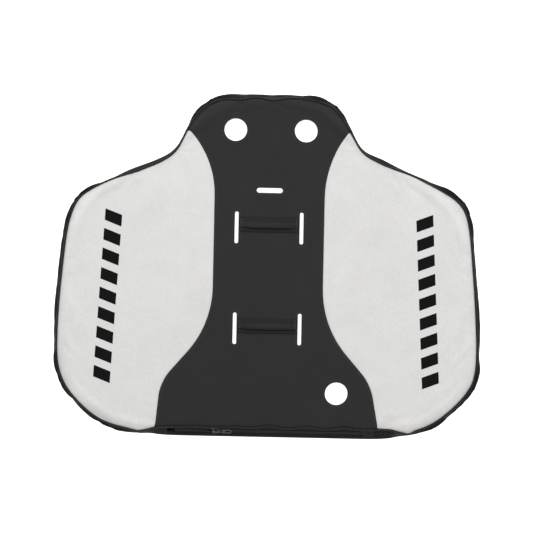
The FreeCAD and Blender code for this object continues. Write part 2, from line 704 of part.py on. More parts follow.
def main():
    os.makedirs("parts", exist_ok=True)

    save("back_panel", back_panel())
    centre, left, right = front_panels()
    save("front_center_panel", centre)
    save("front_left_panel", left)
    save("front_right_panel", right)
    for name, piece in zip(("left", "right"), seam_tapes()):
        save(f"panel_seam_tape_{name}", piece)

    save("front_piping", ring(bead(FRONT_INSET, FRONT_BEAD_Z)))
    save("back_piping", ring(bead(BACK_INSET, BACK_BEAD_Z)))
    for name, piece in zip(("top", "left", "right"), gusset_bands()):
        save(f"gusset_{name}", piece)

    save("foam_pad", foam_pad())
    save("stiffener_sheet", stiffener_sheet().cut(cutters(PAD_HOLE_GAP)))
    for name, place in valve_places().items():
        save(f"valve_hole_liner_{name}", valve_liner(place))
    for name, place in slot_places().items():
        save(f"slot_liner_{name}", slot_liner(place))

    for name, y in zip(("upper", "lower"), SLOT_YS):
        base, flap, tacks = keeper(y)
        save(f"keeper_base_{name}", base)
        save(f"keeper_flap_{name}", flap)
        save(f"keeper_tacks_{name}", *tacks)
    save("printed_bars_left", *printed_bars(-1))
    save("printed_bars_right", *printed_bars(1))

    front_strip, back_strip = zip_strips()
    save("zip_front_strip", front_strip)
    save("zip_back_strip", back_strip)
    for name, side in (("front", 1), ("back", -1)):
        save(f"zip_tape_{name}", on_slope(flat_tape(side)))
        save(f"zip_teeth_{name}", *teeth(side))
    back_stop, front_stop, bottom_stop = zip_stops()
    save("zip_top_stop_back", back_stop)
    save("zip_top_stop_front", front_stop)
    save("zip_bottom_stop", bottom_stop)
    save("zip_end_tab_left", end_tab(-1))
    save("zip_end_tab_right", end_tab(1))

    save("slider_body", slider_body())
    save("slider_bridge", bridge())
    save("pull_tab", pull_tab())


main()
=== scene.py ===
"""Looks for a zipped, padded back cover: sewn panels, piping, gusset, keepers, zip and printed bars."""

import json
import math

import bmesh
import bpy
import numpy as np
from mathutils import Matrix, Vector, noise
from mathutils.bvhtree import BVHTree
from mathutils.geometry import delaunay_2d_cdt

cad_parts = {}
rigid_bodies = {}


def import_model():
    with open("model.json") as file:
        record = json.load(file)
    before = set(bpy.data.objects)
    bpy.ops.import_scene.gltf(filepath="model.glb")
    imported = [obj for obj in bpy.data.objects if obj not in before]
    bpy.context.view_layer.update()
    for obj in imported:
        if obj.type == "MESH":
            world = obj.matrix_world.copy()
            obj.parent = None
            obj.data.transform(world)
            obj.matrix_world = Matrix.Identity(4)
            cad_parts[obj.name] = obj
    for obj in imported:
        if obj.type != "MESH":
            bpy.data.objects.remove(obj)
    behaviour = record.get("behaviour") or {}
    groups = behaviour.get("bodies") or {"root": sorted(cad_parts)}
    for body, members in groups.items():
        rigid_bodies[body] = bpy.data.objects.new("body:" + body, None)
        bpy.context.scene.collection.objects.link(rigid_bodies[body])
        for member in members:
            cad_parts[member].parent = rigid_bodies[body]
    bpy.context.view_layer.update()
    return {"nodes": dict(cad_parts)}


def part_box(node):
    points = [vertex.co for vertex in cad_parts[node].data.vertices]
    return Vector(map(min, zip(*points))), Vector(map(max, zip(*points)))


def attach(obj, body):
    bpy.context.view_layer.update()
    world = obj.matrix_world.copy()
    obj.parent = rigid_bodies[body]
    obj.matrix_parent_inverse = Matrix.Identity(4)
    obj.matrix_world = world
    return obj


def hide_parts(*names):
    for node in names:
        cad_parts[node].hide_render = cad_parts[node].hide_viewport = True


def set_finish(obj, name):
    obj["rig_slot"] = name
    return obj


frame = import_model()

MM = 0.001

# ---- sizes of the sewn work, in metres
RING_STEP = 4.5 * MM  # spacing of points round the outline
GRID = 6.5 * MM  # spacing of points inside the panels
BACK_GRID = 13 * MM
SEAM_DROP = 2.4 * MM  # the outer seam lies this far under the front face
SEAM_ROLL = 15 * MM  # width over which the front rolls down to it
GROOVE = 0.7 * MM  # depth of the seams between the panels
GROOVE_W = 5 * MM
UNEVEN = [(0.8, 0.11, 3.1), (0.35, 0.043, 8.7)]  # the front's swells: height in mm, size in m, seed
BACK_RISE = 2.5 * MM  # the back rises this much to its edge
FABRIC_T = 1.1 * MM
CORD_R = 1.5 * MM
CORD_SIDES = 10
STITCH_SIDES = 6
PRINT_LIFT = 0.18 * MM

# ---- how the case was laid down
LEAN = -0.0105  # how far the outline leans sideways, per metre up
LEAN_REACH = 85 * MM  # the lean fades out this far inside the outline
BUMP_REACH = 45 * MM  # the outline's bumps fade out this far inside it
HOLE_CLEAR = 30 * MM  # the lean fades out over this distance to a hole
DRIFT_PASSES = 14  # smoothing of both round the outline

# ---- the cloth simulation
SIM_FRAMES = 20
PRESSURE = 3.0
SHRINK = 0.06  # of the cloth along the outer seam, which puckers it
CALM_PASSES = 160  # smoothing that finds the outline's overall shrinkage, which is taken out
PUCKER = 0.6  # share of the rest of its sideways movement that is kept
FACE_SLIDE = 0.25  # share of the faces' sideways movement that is kept
MOVE_CAP = 4.5 * MM

# ---- the zip
SLOPE = math.radians(28.14)
ZIP_LOW_Z = 8.0 * MM
ZIP_MID = 11.6 * MM  # the chain line, up the slope
ZIP_SPREAD = 1.4 * MM  # how far the tapes stand apart at the slider's mouth

# ---- webbing: rib pitch, as modelled and in its material
WEB_PITCH = 2.3 * MM
TAPE_PITCH = 1.1 * MM

# ---- the frame's own measures
TOP_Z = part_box("front_center_panel")[1].z
OUTER_X = -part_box("gusset_left")[0].x
OUTER_Y = -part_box("zip_back_strip")[0].y
BACK_EDGE = OUTER_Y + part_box("back_panel")[0].y  # how far the back panel's edge lies inside the outline
HEM_EDGE = OUTER_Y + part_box("front_center_panel")[0].y
ZIP_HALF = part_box("zip_back_strip")[1].x
NODES = frame["nodes"]


# ---- reading outlines off the frame
def flat_loops(node, z):
    """The boundary loops of a node's faces at one height, longest first, as arrays of (x, y)."""
    bm = bmesh.new()
    bm.from_mesh(NODES[node].data)
    bmesh.ops.remove_doubles(bm, verts=bm.verts, dist=1e-6)
    bm.verts.index_update()
    level = {f for f in bm.faces if all(abs(v.co.z - z) < 1e-5 for v in f.verts)}
    links = {}
    for edge in bm.edges:
        if sum(f in level for f in edge.link_faces) == 1:
            a, b = (v.index for v in edge.verts)
            links.setdefault(a, []).append(b)
            links.setdefault(b, []).append(a)
    places = {v.index: tuple(v.co[:2]) for v in bm.verts}
    bm.free()
    left = sorted(links)
    loops = []
    while left:
        here = left[0]
        loop = []
        while here is not None:
            loop.append(places[here])
            left.remove(here)
            onward = [n for n in links[here] if n in left]
            here = min(onward) if onward else None
        loops.append(np.array(loop))
    return sorted(loops, key=lambda loop: -perimeter(loop))


def perimeter(loop):
    return np.linalg.norm(np.roll(loop, -1, axis=0) - loop, axis=1).sum()


def resample(points, step, closed=True, count=None):
    """Points evenly spaced along a line or loop."""
    line = np.vstack([points, points[:1]]) if closed else np.array(points)
    along = np.concatenate([[0], np.cumsum(np.linalg.norm(np.diff(line, axis=0), axis=1))])
    count = count or max(3, int(round(along[-1] / step)) + (0 if closed else 1))
    places = np.linspace(0, along[-1], count, endpoint=not closed)
    return np.column_stack([np.interp(places, along, line[:, i]) for i in range(line.shape[1])])


def anticlockwise(loop):
    x, y = loop[:, 0], loop[:, 1]
    area = (x * np.roll(y, -1) - np.roll(x, -1) * y).sum()
    return loop if area > 0 else loop[::-1]


def smoothed(loop, passes):
    for _ in range(passes):
        loop = 0.5 * loop + 0.25 * (np.roll(loop, 1, axis=0) + np.roll(loop, -1, axis=0))
    return loop


def outward(loop):
    """Unit normals of an anticlockwise loop."""
    along = np.roll(loop, -1, axis=0) - np.roll(loop, 1, axis=0)
    along /= np.linalg.norm(along, axis=1)[:, None]
    return np.column_stack([along[:, 1], -along[:, 0]])


def distance_to(points, line, closed=True):
    """Distance of each point to a polyline."""
    a = line if closed else line[:-1]
    b = np.roll(line, -1, axis=0) if closed else line[1:]
    d = b - a
    square = (d**2).sum(1)
    best = np.full(len(points), np.inf)
    for start, step, size in zip(a, d, square):
        share = np.clip(((points - start) @ step) / size, 0, 1)
        gap = np.linalg.norm(points - start - share[:, None] * step, axis=1)
        best = np.minimum(best, gap)
    return best


def smooth_step(x):
    x = np.clip(x, 0, 1)
    return x * x * (3 - 2 * x)


def from_hem_middle(loop):
    """The loop turned round so that it starts at the middle of the hem."""
    low = np.where(loop[:, 1] < 0, np.abs(loop[:, 0]), np.inf)
    return np.roll(loop, -int(np.argmin(low)), axis=0)


back_edge = anticlockwise(flat_loops("back_panel", 0.0)[0])
COUNT = int(round(perimeter(back_edge) / RING_STEP))
back_loop = from_hem_middle(smoothed(resample(back_edge, 0, count=COUNT), 4))
NORMAL = outward(back_loop)
outer_loop = back_loop + NORMAL * BACK_EDGE
centre_loops = flat_loops("front_center_panel", TOP_Z)
side_loops = {side: flat_loops(f"front_{side}_panel", TOP_Z)[0] for side in ("left", "right")}


def panel_seam(side):
    """The line of the seam between the centre panel and a side panel, from the hem up."""
    loop = resample(side_loops[side], 2 * MM)
    near = distance_to(loop, centre_loops[0]) < 0.4 * MM
    start = int(np.argmax(near & ~np.roll(near, 1)))
    loop, near = np.roll(loop, -start, axis=0), np.roll(near, -start)
    line = loop[: int(np.argmin(near))] if not near.all() else loop
    line = line if line[0, 1] < line[-1, 1] else line[::-1]
    return line


def run_on(line, reach):
    """The line made longer at both ends, in the directions of its ends."""
    first, last = line[0] - line[4], line[-1] - line[-5]
    start = line[0] + first / np.linalg.norm(first) * reach
    end = line[-1] + last / np.linalg.norm(last) * reach
    return np.vstack([start, line, end])


panel_seams = {side: panel_seam(side) for side in ("left", "right")}
seams = {side: run_on(line, 30 * MM) for side, line in panel_seams.items()}
front_points = np.vstack([resample(loop, 2 * MM) for loop in (centre_loops[0], *side_loops.values())])
away = np.minimum(*(distance_to(front_points, seam, closed=False) for seam in seams.values()))
front_points = front_points[away > 0.6 * MM]
front_edge = front_points[np.argsort(np.arctan2(front_points[:, 1], front_points[:, 0]))]
edge_inset = distance_to(outer_loop, front_edge)
edge_inset = smoothed(edge_inset[:, None], 6)[:, 0]
SIDE_EDGE = float(np.median(edge_inset))
hem = smooth_step((edge_inset - SIDE_EDGE) / (HEM_EDGE - SIDE_EDGE))


# ---- the section round the edge: (inset, height) in mm from the front seam down to the back seam; where
# the zip is shut the middle rings of the hem's section are replaced: (ring, inset, height)
SIDE_SECTION = [
    (11.7, 18.8), (10.0, 17.3), (8.0, 17.2), (5.5, 16.3), (3.0, 14.6), (1.0, 12.6),
    (0.0, 10.8), (0.6, 8.6), (2.0, 6.6), (4.2, 5.0), (6.4, 4.2), (6.7, 2.6),
]
HEM_SECTION = [
    (16.7, 18.8), (16.6, 17.0), (15.35, 16.2), (12.8, 14.8), (10.2, 13.5), (7.7, 12.1),
    (5.1, 10.7), (2.2, 9.2), (0.3, 7.6), (0.2, 6.0), (2.5, 5.0), (6.7, 2.6),
]
RINGS = len(SIDE_SECTION)
SHUT_SECTION = [(2, 12.4, 14.9), (3, 11.6, 14.3), (4, 10.6, 13.7), (5, 9.6, 13.1), (6, 8.8, 12.5)]
BAND = 7.6  # usual width in mm of the gusset that shows outside the front seam
BANDS = [  # where it is wider or narrower: (x, y, reach, width) in mm
    (-262, 142, 24, 2.6), (-222, 158, 20, 9.5), (-188, 172, 20, 8.5), (-305, 108, 30, 6.0),
    (-345, 30, 60, 8.0), (236, 150, 22, 2.4), (190, 172, 22, 9.0), (300, 122, 30, 9.0),
    (346, 0, 60, 6.4), (-300, -240, 45, 6.0), (-245, -275, 25, 9.0), (-213, -281, 10, 2.6),
    (285, -262, 50, 8.0), (345, -170, 50, 7.5), (-345, -140, 50, 6.6), (-150, 225, 30, 3.2),
    (155, 228, 30, 4.0), (-50, 282, 14, 14.0), (-22, 282, 12, 5.5), (6, 282, 15, 14.0),
    (47, 282, 16, 5.5), (80, 282, 16, 11.5), (-90, 275, 20, 8.6), (233, -280, 9, 1.6),
    (-120, 190, 25, 5.0), (140, 195, 25, 6.0),
]
BAND_RANGE = (2.2, 14.0)
HEM_REACH = (-190, 217)  # the wide part of the gusset that carries the zip, in mm along the hem
HEM_RAMP = 17  # half the length in mm over which it begins and ends
ZIP_CLEAR = (-147 * MM, 163 * MM)  # the slider's room; outside it the folded edges come together
ZIP_RAMP = 12 * MM
HEM_WAVES = [  # of the fold along the hem: (x, reach, depth) in mm
    (3, 12, 5.6), (65, 12, 4.8), (128, 14, 5.2), (-50, 12, 2.0), (190, 22, 2.4), (-120, 20, 1.2),
]
WAVE_SHARES = (1.0, 1.0, 0.6)  # of the wave in the first rings
FRONT_FOLD, BACK_FOLD = 2, 6  # rings at the folded edges beside the zip
ZIP_GAP = 172 * MM  # half length of the opening between them
along_hem = np.where(outer_loop[:, 1] < 0, outer_loop[:, 0] / MM, 1e3)
hem_start = smooth_step((along_hem - HEM_REACH[0] + HEM_RAMP) / (2 * HEM_RAMP))
hem_end = smooth_step((HEM_REACH[1] + HEM_RAMP - along_hem) / (2 * HEM_RAMP))
hem *= hem_start * hem_end


def band_widths():
    """The width of the gusset seen from above, round the outline."""
    width = np.full(COUNT, float(BAND))
    for x, y, reach, there in BANDS:
        gap = np.linalg.norm(outer_loop - np.array([x, y]) * MM, axis=1)
        width += (there - BAND) * np.exp(-((gap / (reach * MM)) ** 2))
    return np.clip(width, *BAND_RANGE)


def ring_points():
    """The rings of points round the edge, as an array of rings by points by 3."""
    side, low = np.array(SIDE_SECTION) * MM, np.array(HEM_SECTION) * MM
    side = np.repeat(side[:, None, :], COUNT, axis=1)
    side[:BACK_FOLD, :, 0] *= band_widths() / SIDE_SECTION[0][0]
    low = np.repeat(low[:, None, :], COUNT, axis=1)
    x = outer_loop[:, 0]
    waves = sum(depth * np.exp(-(((x / MM - middle) / reach) ** 2)) for middle, reach, depth in HEM_WAVES)
    for ring, share in enumerate(WAVE_SHARES):
        low[ring, :, 0] += waves * share * MM
    shut = np.maximum(smooth_step((ZIP_CLEAR[0] - x) / ZIP_RAMP), smooth_step((x - ZIP_CLEAR[1]) / ZIP_RAMP))
    for ring, inset, z in SHUT_SECTION:
        low[ring] += shut[:, None] * (np.array([inset, z]) * MM - low[ring])
    share = hem[None, :, None]
    section = side * (1 - share) + low * share
    flat = outer_loop[None] - NORMAL[None] * section[:, :, :1]
    return np.concatenate([flat, section[:, :, 1:]], axis=2)


# ---- triangulated patches
def inside(points, loop):
    """Which points lie inside a loop."""
    x, y = points[:, 0], points[:, 1]
    result = np.zeros(len(points), bool)
    for (x0, y0), (x1, y1) in zip(loop, np.roll(loop, -1, axis=0)):
        if y0 != y1:
            crosses = (y0 > y) != (y1 > y)
            result ^= crosses & (x < x0 + (y - y0) * (x1 - x0) / (y1 - y0))
    return result


def thinned(batches):
    """Points of the batches in order, without those nearer than their gap to one already kept."""
    kept, cells = [], {}
    for points, gap in batches:
        for x, y in points:
            i, j = int(x // BACK_GRID), int(y // BACK_GRID)
            around = [(a, b) for a in (i - 1, i, i + 1) for b in (j - 1, j, j + 1)]
            near = [q for cell in around for q in cells.get(cell, ())]
            if all((x - u) ** 2 + (y - v) ** 2 >= gap * gap for u, v in near):
                kept.append((x, y))
                cells.setdefault((i, j), []).append((x, y))
    return kept


def hex_grid(step):
    """Points in offset rows over the whole outline."""
    rows = np.arange(-OUTER_Y, OUTER_Y, step * 0.866)
    across = np.arange(-OUTER_X, OUTER_X, step)
    return np.array([(x + (i % 2) * step / 2, y) for i, y in enumerate(rows) for x in across])


BESIDE_SEAM = (-2.6 * MM, 2.6 * MM, -6 * MM, 6 * MM)  # lines of points beside each seam


def patch(rim, holes, lines, step, insets, hole_insets):
    """Points and triangles inside a rim and round its holes, with edges along the lines. The rim is first."""
    fixed = list(map(tuple, rim))
    edges = [(i, (i + 1) % len(rim)) for i in range(len(rim))]
    for hole in holes:
        first = len(fixed)
        fixed += list(map(tuple, hole))
        edges += [(first + i, first + (i + 1) % len(hole)) for i in range(len(hole))]
    for line in lines:
        middle = resample(line, RING_STEP / 3, closed=False)
        middle = middle[inside(middle, rim)]
        ends = [int(np.argmin(np.linalg.norm(rim - end, axis=1))) for end in (middle[0], middle[-1])]
        middle = resample(middle, RING_STEP, closed=False)
        for end in ends:
            middle = middle[np.linalg.norm(middle - rim[end], axis=1) > 0.6 * RING_STEP]
        chain = [ends[0]] + list(range(len(fixed), len(fixed) + len(middle))) + [ends[1]]
        fixed += list(map(tuple, middle))
        edges += list(zip(chain, chain[1:]))
    batches = [(fixed, 0.0)]
    for line in lines:
        along = resample(line, RING_STEP, closed=False)
        side = np.gradient(along, axis=0)
        side = np.column_stack([side[:, 1], -side[:, 0]]) / np.linalg.norm(side, axis=1)[:, None]
        batches += [(along + side * move, 0.5 * abs(move)) for move in BESIDE_SEAM]
    for hole in holes:
        loop = anticlockwise(hole)
        batches += [(loop + outward(loop) * move, 0.55 * move) for move in hole_insets]
    for move in insets:
        batches.append((rim - outward(rim) * move, 0.7 * min(move, step)))
    batches.append((hex_grid(step), 0.72 * step))
    points = np.array(thinned(batches))
    keep = inside(points, rim)
    keep[: len(fixed)] = True
    for hole in holes:
        keep[len(fixed) :] &= ~inside(points[len(fixed) :], hole)
    points = points[keep]
    _, _, faces, origins, _, _ = delaunay_2d_cdt([Vector(p) for p in points], edges, [], 0, 1e-7)
    source = {j: i for j, group in enumerate(origins) for i in group}
    triangles = np.array([[source[j] for j in face] for face in faces if len(face) == 3])
    middles = points[triangles].mean(axis=1)
    good = inside(middles, rim)
    for hole in holes:
        good &= ~inside(middles, hole)
    triangles = triangles[good]
    a, b, c = (points[triangles[:, k]] for k in range(3))
    turned = (b - a)[:, 0] * (c - a)[:, 1] - (b - a)[:, 1] * (c - a)[:, 0] < 0
    triangles[turned] = triangles[turned][:, ::-1]
    return points, triangles


def wall_loops(node, z):
    """The hole outlines of a panel at one height, evenly stepped."""
    return [resample(loop, 2.6 * MM) for loop in flat_loops(node, z)[1:]]


rings = ring_points()
front_holes = wall_loops("front_center_panel", TOP_Z)
back_holes = wall_loops("back_panel", 0.0)
front_xy, front_faces = patch(
    rings[0, :, :2],
    front_holes,
    list(seams.values()),
    GRID,
    [3 * MM, 7 * MM, 12 * MM, 18 * MM, 25 * MM],
    [2 * MM, 5 * MM],
)
back_xy, back_faces = patch(rings[-1, :, :2], back_holes, [], BACK_GRID, [4 * MM, 9 * MM], [3 * MM])


def hole_distance(xy, holes):
    return np.min([distance_to(xy, hole) for hole in holes], axis=0)


def seam_x(side, y):
    return np.interp(y, seams[side][:, 1], seams[side][:, 0])


def undulation(xy, size, seed):
    """Smooth unevenness between -1 and 1."""
    return np.array([noise.noise(Vector((x / size, y / size, seed))) for x, y in xy]) * 1.6


def front_heights(xy):
    """The front face: uneven, rolled down to the outer seam and pressed in along the panel seams."""
    edge = distance_to(xy, rings[0, :, :2])
    hole = hole_distance(xy, front_holes)
    seam = np.minimum(*(distance_to(xy, seam, closed=False) for seam in seams.values()))
    roll = 1 - np.clip(edge / SEAM_ROLL, 0, 1)
    flat = smooth_step(hole / (22 * MM)) * smooth_step(edge / (14 * MM))
    z = TOP_Z - SEAM_DROP * (1 - np.sqrt(np.clip(1 - roll**2, 0, 1)))
    z += sum(height * undulation(xy, size, seed) for height, size, seed in UNEVEN) * MM * flat
    return z - GROOVE * np.exp(-((seam / (GROOVE_W / 2)) ** 2)) * smooth_step(edge / (5 * MM))


def back_heights(xy):
    edge = distance_to(xy, rings[-1, :, :2])
    return BACK_RISE * (1 - smooth_step(edge / (12 * MM)))


# small unevennesses of the outline: (x, y, reach, move x, move y) in mm
BUMPS = [
    (-275, 138, 40, 1.0, -5.0), (-190, 170, 30, 0, -3.2), (-116, 250, 34, -1.5, 0.8),
    (186, 176, 38, -1.0, 5.6), (262, 140, 34, 0, 3.4), (322, 108, 46, 3.0, 5.6),
    (-296, 130, 36, -0.6, 1.8), (-330, 88, 30, 2.4, 0),
    (-350, -40, 150, -2.6, 0), (-290, -240, 60, -4.6, -4.0), (290, -245, 60, 2.6, -3.2),
    (-90, 282, 30, 0, -1.5), (85, 282, 40, 1.5, 0.5), (-216, -280, 34, 0, 4.0), (236, -280, 34, 0, 6.5),
]


def settled(points):
    """The shell's places once it is laid down: the outline leans and is uneven, the holes stay put."""
    xy = points[:, :2]
    depth = distance_to(xy, outer_loop)
    near_hole = np.minimum(hole_distance(xy, front_holes), hole_distance(xy, back_holes))
    share = smooth_step(1 - depth / LEAN_REACH) * smooth_step(near_hole / HOLE_CLEAR)
    moved = points.copy()
    moved[:, 0] += LEAN * xy[:, 1] * share
    edge = smooth_step(1 - depth / BUMP_REACH)
    for x, y, reach, dx, dy in BUMPS:
        square = (xy[:, 0] - x * MM) ** 2 + (xy[:, 1] - y * MM) ** 2
        weight = np.exp(-square / (reach * MM) ** 2) * edge
        moved[:, 0] += weight * dx * MM
        moved[:, 1] += weight * dy * MM
    return moved


def calmed(moves, passes):
    """Movements of the rings, smoothed round the outline."""
    for _ in range(passes):
        moves = 0.5 * moves + 0.25 * (np.roll(moves, 1, axis=1) + np.roll(moves, -1, axis=1))
    return moves


# ---- the whole shell as one mesh: rings, then the rest of the front, then the rest of the back
def joined():
    """The shell's points, its faces, and each face's kind: its ring, or -1 in front and -2 behind."""
    places = [rings.reshape(-1, 3)]
    index = np.arange(RINGS * COUNT).reshape(RINGS, COUNT)
    faces, kinds = [], []
    for r in range(RINGS - 1):
        for i in range(COUNT):
            j = (i + 1) % COUNT
            faces.append((index[r, i], index[r + 1, i], index[r + 1, j], index[r, j]))
            kinds.append(r)
    start = RINGS * COUNT
    for xy, triangles, heights, rim, flip, kind in (
        (front_xy, front_faces, front_heights(front_xy), index[0], False, -1),
        (back_xy, back_faces, back_heights(back_xy), index[-1], True, -2),
    ):
        number = np.concatenate([rim, np.arange(start, start + len(xy) - COUNT)])
        places.append(np.column_stack([xy, heights])[COUNT:])
        start += len(xy) - COUNT
        for a, b, c in triangles:
            face = (number[a], number[b], number[c])
            faces.append(face[::-1] if flip else face)
            kinds.append(kind)
    return np.vstack(places), [tuple(int(v) for v in face) for face in faces], np.array(kinds)


shell, shell_faces, shell_kinds = joined()
RING_COUNT = RINGS * COUNT
FRONT_COUNT = len(front_xy) - COUNT
shell_flat = shell
shell = settled(shell)
drift = calmed((shell - shell_flat)[:RING_COUNT].reshape(RINGS, COUNT, 3), DRIFT_PASSES)
shell[:RING_COUNT] = shell_flat[:RING_COUNT] + drift.reshape(-1, 3)


def mesh_object(name, points, faces, smooth=True):
    mesh = bpy.data.meshes.new(name)
    mesh.from_pydata([tuple(map(float, p)) for p in points], [], [tuple(map(int, f)) for f in faces])
    mesh.validate()
    if smooth:
        mesh.shade_smooth()
    piece = bpy.data.objects.new(name, mesh)
    bpy.context.scene.collection.objects.link(piece)
    return piece


# ---- filling the shell: a short cloth simulation under air pressure
def hold(points):
    """How firmly each of the shell's points is held: the back, the holes and the zip fully."""
    held = np.ones(len(points))
    front = slice(RING_COUNT, RING_COUNT + FRONT_COUNT)
    edge = distance_to(points[front, :2], rings[0, :, :2])
    hole = hole_distance(points[front, :2], front_holes)
    held[front] = 0.25 + 0.6 * smooth_step(edge / (70 * MM))
    held[front][hole < 7 * MM] = 1.0
    ringed = np.zeros((RINGS, COUNT))
    ringed[-2:] = 1.0
    zipped = (hem > 0.3) & (np.abs(outer_loop[:, 0]) < ZIP_HALF + 12 * MM) & (outer_loop[:, 1] < 0)
    ringed[1:8, zipped] = 1.0
    ringed[0] = 0.12
    held[:RING_COUNT] = ringed.reshape(-1)
    return held


def filled(points):
    """The shell's points after it has swelled against its seams and holes."""
    shell_object = mesh_object("shell", points, shell_faces)
    pins = shell_object.vertex_groups.new(name="held")
    for i, weight in enumerate(hold(points)):
        pins.add([i], float(weight), "REPLACE")
    tight = shell_object.vertex_groups.new(name="tight")
    tight.add(list(range(COUNT)), 1.0, "REPLACE")
    tight.add(list(range(COUNT, 2 * COUNT)), 0.4, "REPLACE")
    cloth = shell_object.modifiers.new("fill", "CLOTH")
    setup = cloth.settings
    setup.effector_weights.gravity = 0
    setup.vertex_group_mass = "held"
    setup.pin_stiffness = 1.0
    setup.vertex_group_shrink = "tight"
    setup.shrink_max = SHRINK
    setup.use_pressure = True
    setup.uniform_pressure_force = PRESSURE
    setup.tension_stiffness = 15
    setup.compression_stiffness = 15
    setup.bending_stiffness = 0.4
    setup.quality = 5
    scene = bpy.context.scene
    scene.frame_start, scene.frame_end = 1, SIM_FRAMES
    cloth.point_cache.frame_start, cloth.point_cache.frame_end = 1, SIM_FRAMES
    for number in range(1, SIM_FRAMES + 1):
        scene.frame_set(number)
    graph = bpy.context.evaluated_depsgraph_get()
    ready = shell_object.evaluated_get(graph).to_mesh()
    after = np.empty(len(points) * 3)
    ready.vertices.foreach_get("co", after)
    after = after.reshape(-1, 3)
    scene.frame_set(1)
    bpy.data.objects.remove(shell_object)
    move = after - points
    rim = move[:RING_COUNT].reshape(RINGS, COUNT, 3)
    rim[:, :, :2] -= calmed(rim, CALM_PASSES)[:, :, :2]  # puckers stay, the outline doesn't shrink
    rim[:, :, :2] *= PUCKER
    move[RING_COUNT:, :2] *= FACE_SLIDE
    length = np.linalg.norm(move, axis=1)
    return points + move * np.minimum(1, MOVE_CAP / np.maximum(length, 1e-9))[:, None]


shell = filled(shell)


# ---- splitting the shell into its sewn pieces
def own_piece(name, wanted, body, slot, stands_for):
    """A piece of fabric made of some of the shell's faces, thickened inwards."""
    faces = [shell_faces[i] for i in np.flatnonzero(wanted)]
    used = sorted({v for face in faces for v in face})
    number = {v: i for i, v in enumerate(used)}
    piece = mesh_object(name, shell[used], [[number[v] for v in face] for face in faces])
    surface = piece.modifiers.new("smooth", "SUBSURF")
    surface.levels = surface.render_levels = 1
    surface.boundary_smooth = "PRESERVE_CORNERS"
    skin = piece.modifiers.new("cloth", "SOLIDIFY")
    skin.thickness = FABRIC_T
    skin.offset = -1
    finish_piece(piece, body, slot, stands_for)
    return piece


def finish_piece(piece, body, slot, stands_for=()):
    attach(piece, body)
    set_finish(piece, slot)
    if stands_for:
        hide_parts(*stands_for)


start_middles = np.array([shell_flat[list(face)].mean(axis=0) for face in shell_faces])
mx, my = start_middles[:, 0], start_middles[:, 1]
is_front = shell_kinds == -1
is_back = shell_kinds == -2
is_ring = shell_kinds >= 0
on_hem = (np.abs(mx) < ZIP_HALF) & (my < -0.9 * OUTER_Y)
over_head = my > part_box("gusset_top")[0].y
left_side = mx < seam_x("left", my)
right_side = mx > seam_x("right", my)
opening = on_hem & (np.abs(mx) < ZIP_GAP) & (shell_kinds >= FRONT_FOLD) & (shell_kinds < BACK_FOLD)
flank = is_ring & ~over_head & ~on_hem
strip = is_ring & on_hem & ~opening
above = shell_kinds < (FRONT_FOLD + BACK_FOLD) // 2
middle = is_front & ~left_side & ~right_side

SOFT_PIECES = [  # name, its faces, its material slot and the node it stands for
    ("soft_front_center", middle, "black_laminate", "front_center_panel"),
    ("soft_front_left", is_front & left_side, "light_laminate", "front_left_panel"),
    ("soft_front_right", is_front & right_side, "light_laminate", "front_right_panel"),
    ("soft_back", is_back, "black_laminate", "back_panel"),
    ("soft_gusset_top", is_ring & over_head, "gusset_fabric", "gusset_top"),
    ("soft_gusset_left", flank & (mx < 0), "gusset_fabric", "gusset_left"),
    ("soft_gusset_right", flank & (mx > 0), "gusset_fabric", "gusset_right"),
    ("soft_zip_front_strip", strip & above, "gusset_fabric", "zip_front_strip"),
    ("soft_zip_back_strip", strip & ~above, "gusset_fabric", "zip_back_strip"),
]
for name, wanted, slot, node in SOFT_PIECES:
    piece = own_piece(name, wanted, "cover", slot, [node])


# ---- piping
def tube(name, centres, sideways):
    """A closed cord through the centres; sideways are unit vectors across it, in the plane."""
    points, faces = [], []
    for k in range(CORD_SIDES):
        turn = 2 * math.pi * k / CORD_SIDES
        points.append(centres + CORD_R * (math.cos(turn) * sideways + math.sin(turn) * np.array([0, 0, 1])))
    points = np.stack(points, axis=1).reshape(-1, 3)
    for i in range(COUNT):
        here, there = i * CORD_SIDES, (i + 1) % COUNT * CORD_SIDES
        for k in range(CORD_SIDES):
            after = (k + 1) % CORD_SIDES
            faces.append((here + k, here + after, there + after, there + k))
    return mesh_object(name, points, faces)


def cord_along(name, ring, out, up, node):
    """The piping along one ring of the shell, a little out of it and above it."""
    seam = smoothed(shell[ring * COUNT : (ring + 1) * COUNT], 2)
    sideways = np.column_stack([outward(seam[:, :2]), np.zeros(COUNT)])
    centres = seam + sideways * out + np.array([0, 0, up])
    piece = tube(name, centres, sideways)
    finish_piece(piece, "cover", "piping", [node])


cord_along("soft_front_piping", 0, 1.5 * MM, 0.1 * MM, "front_piping")
cord_along("soft_back_piping", RINGS - 1, 1.6 * MM, 0.4 * MM, "back_piping")


# ---- stitches
front_polygons = [shell_faces[i] for i in np.flatnonzero(is_front)]
front_tree = BVHTree.FromPolygons([Vector(p) for p in shell], front_polygons, all_triangles=False)


def on_front(x, y):
    """The place and normal of the front face over a point, or nothing where there is a hole."""
    place, normal, _, _ = front_tree.ray_cast(Vector((x, y, 0.1)), Vector((0, 0, -1)))
    return (place, normal) if place else (None, None)


STITCH_SHAPE = [(-1.0, 0.25), (-0.8, 0.85), (0.0, 1.0), (0.8, 0.85), (1.0, 0.25)]  # (place along, width)


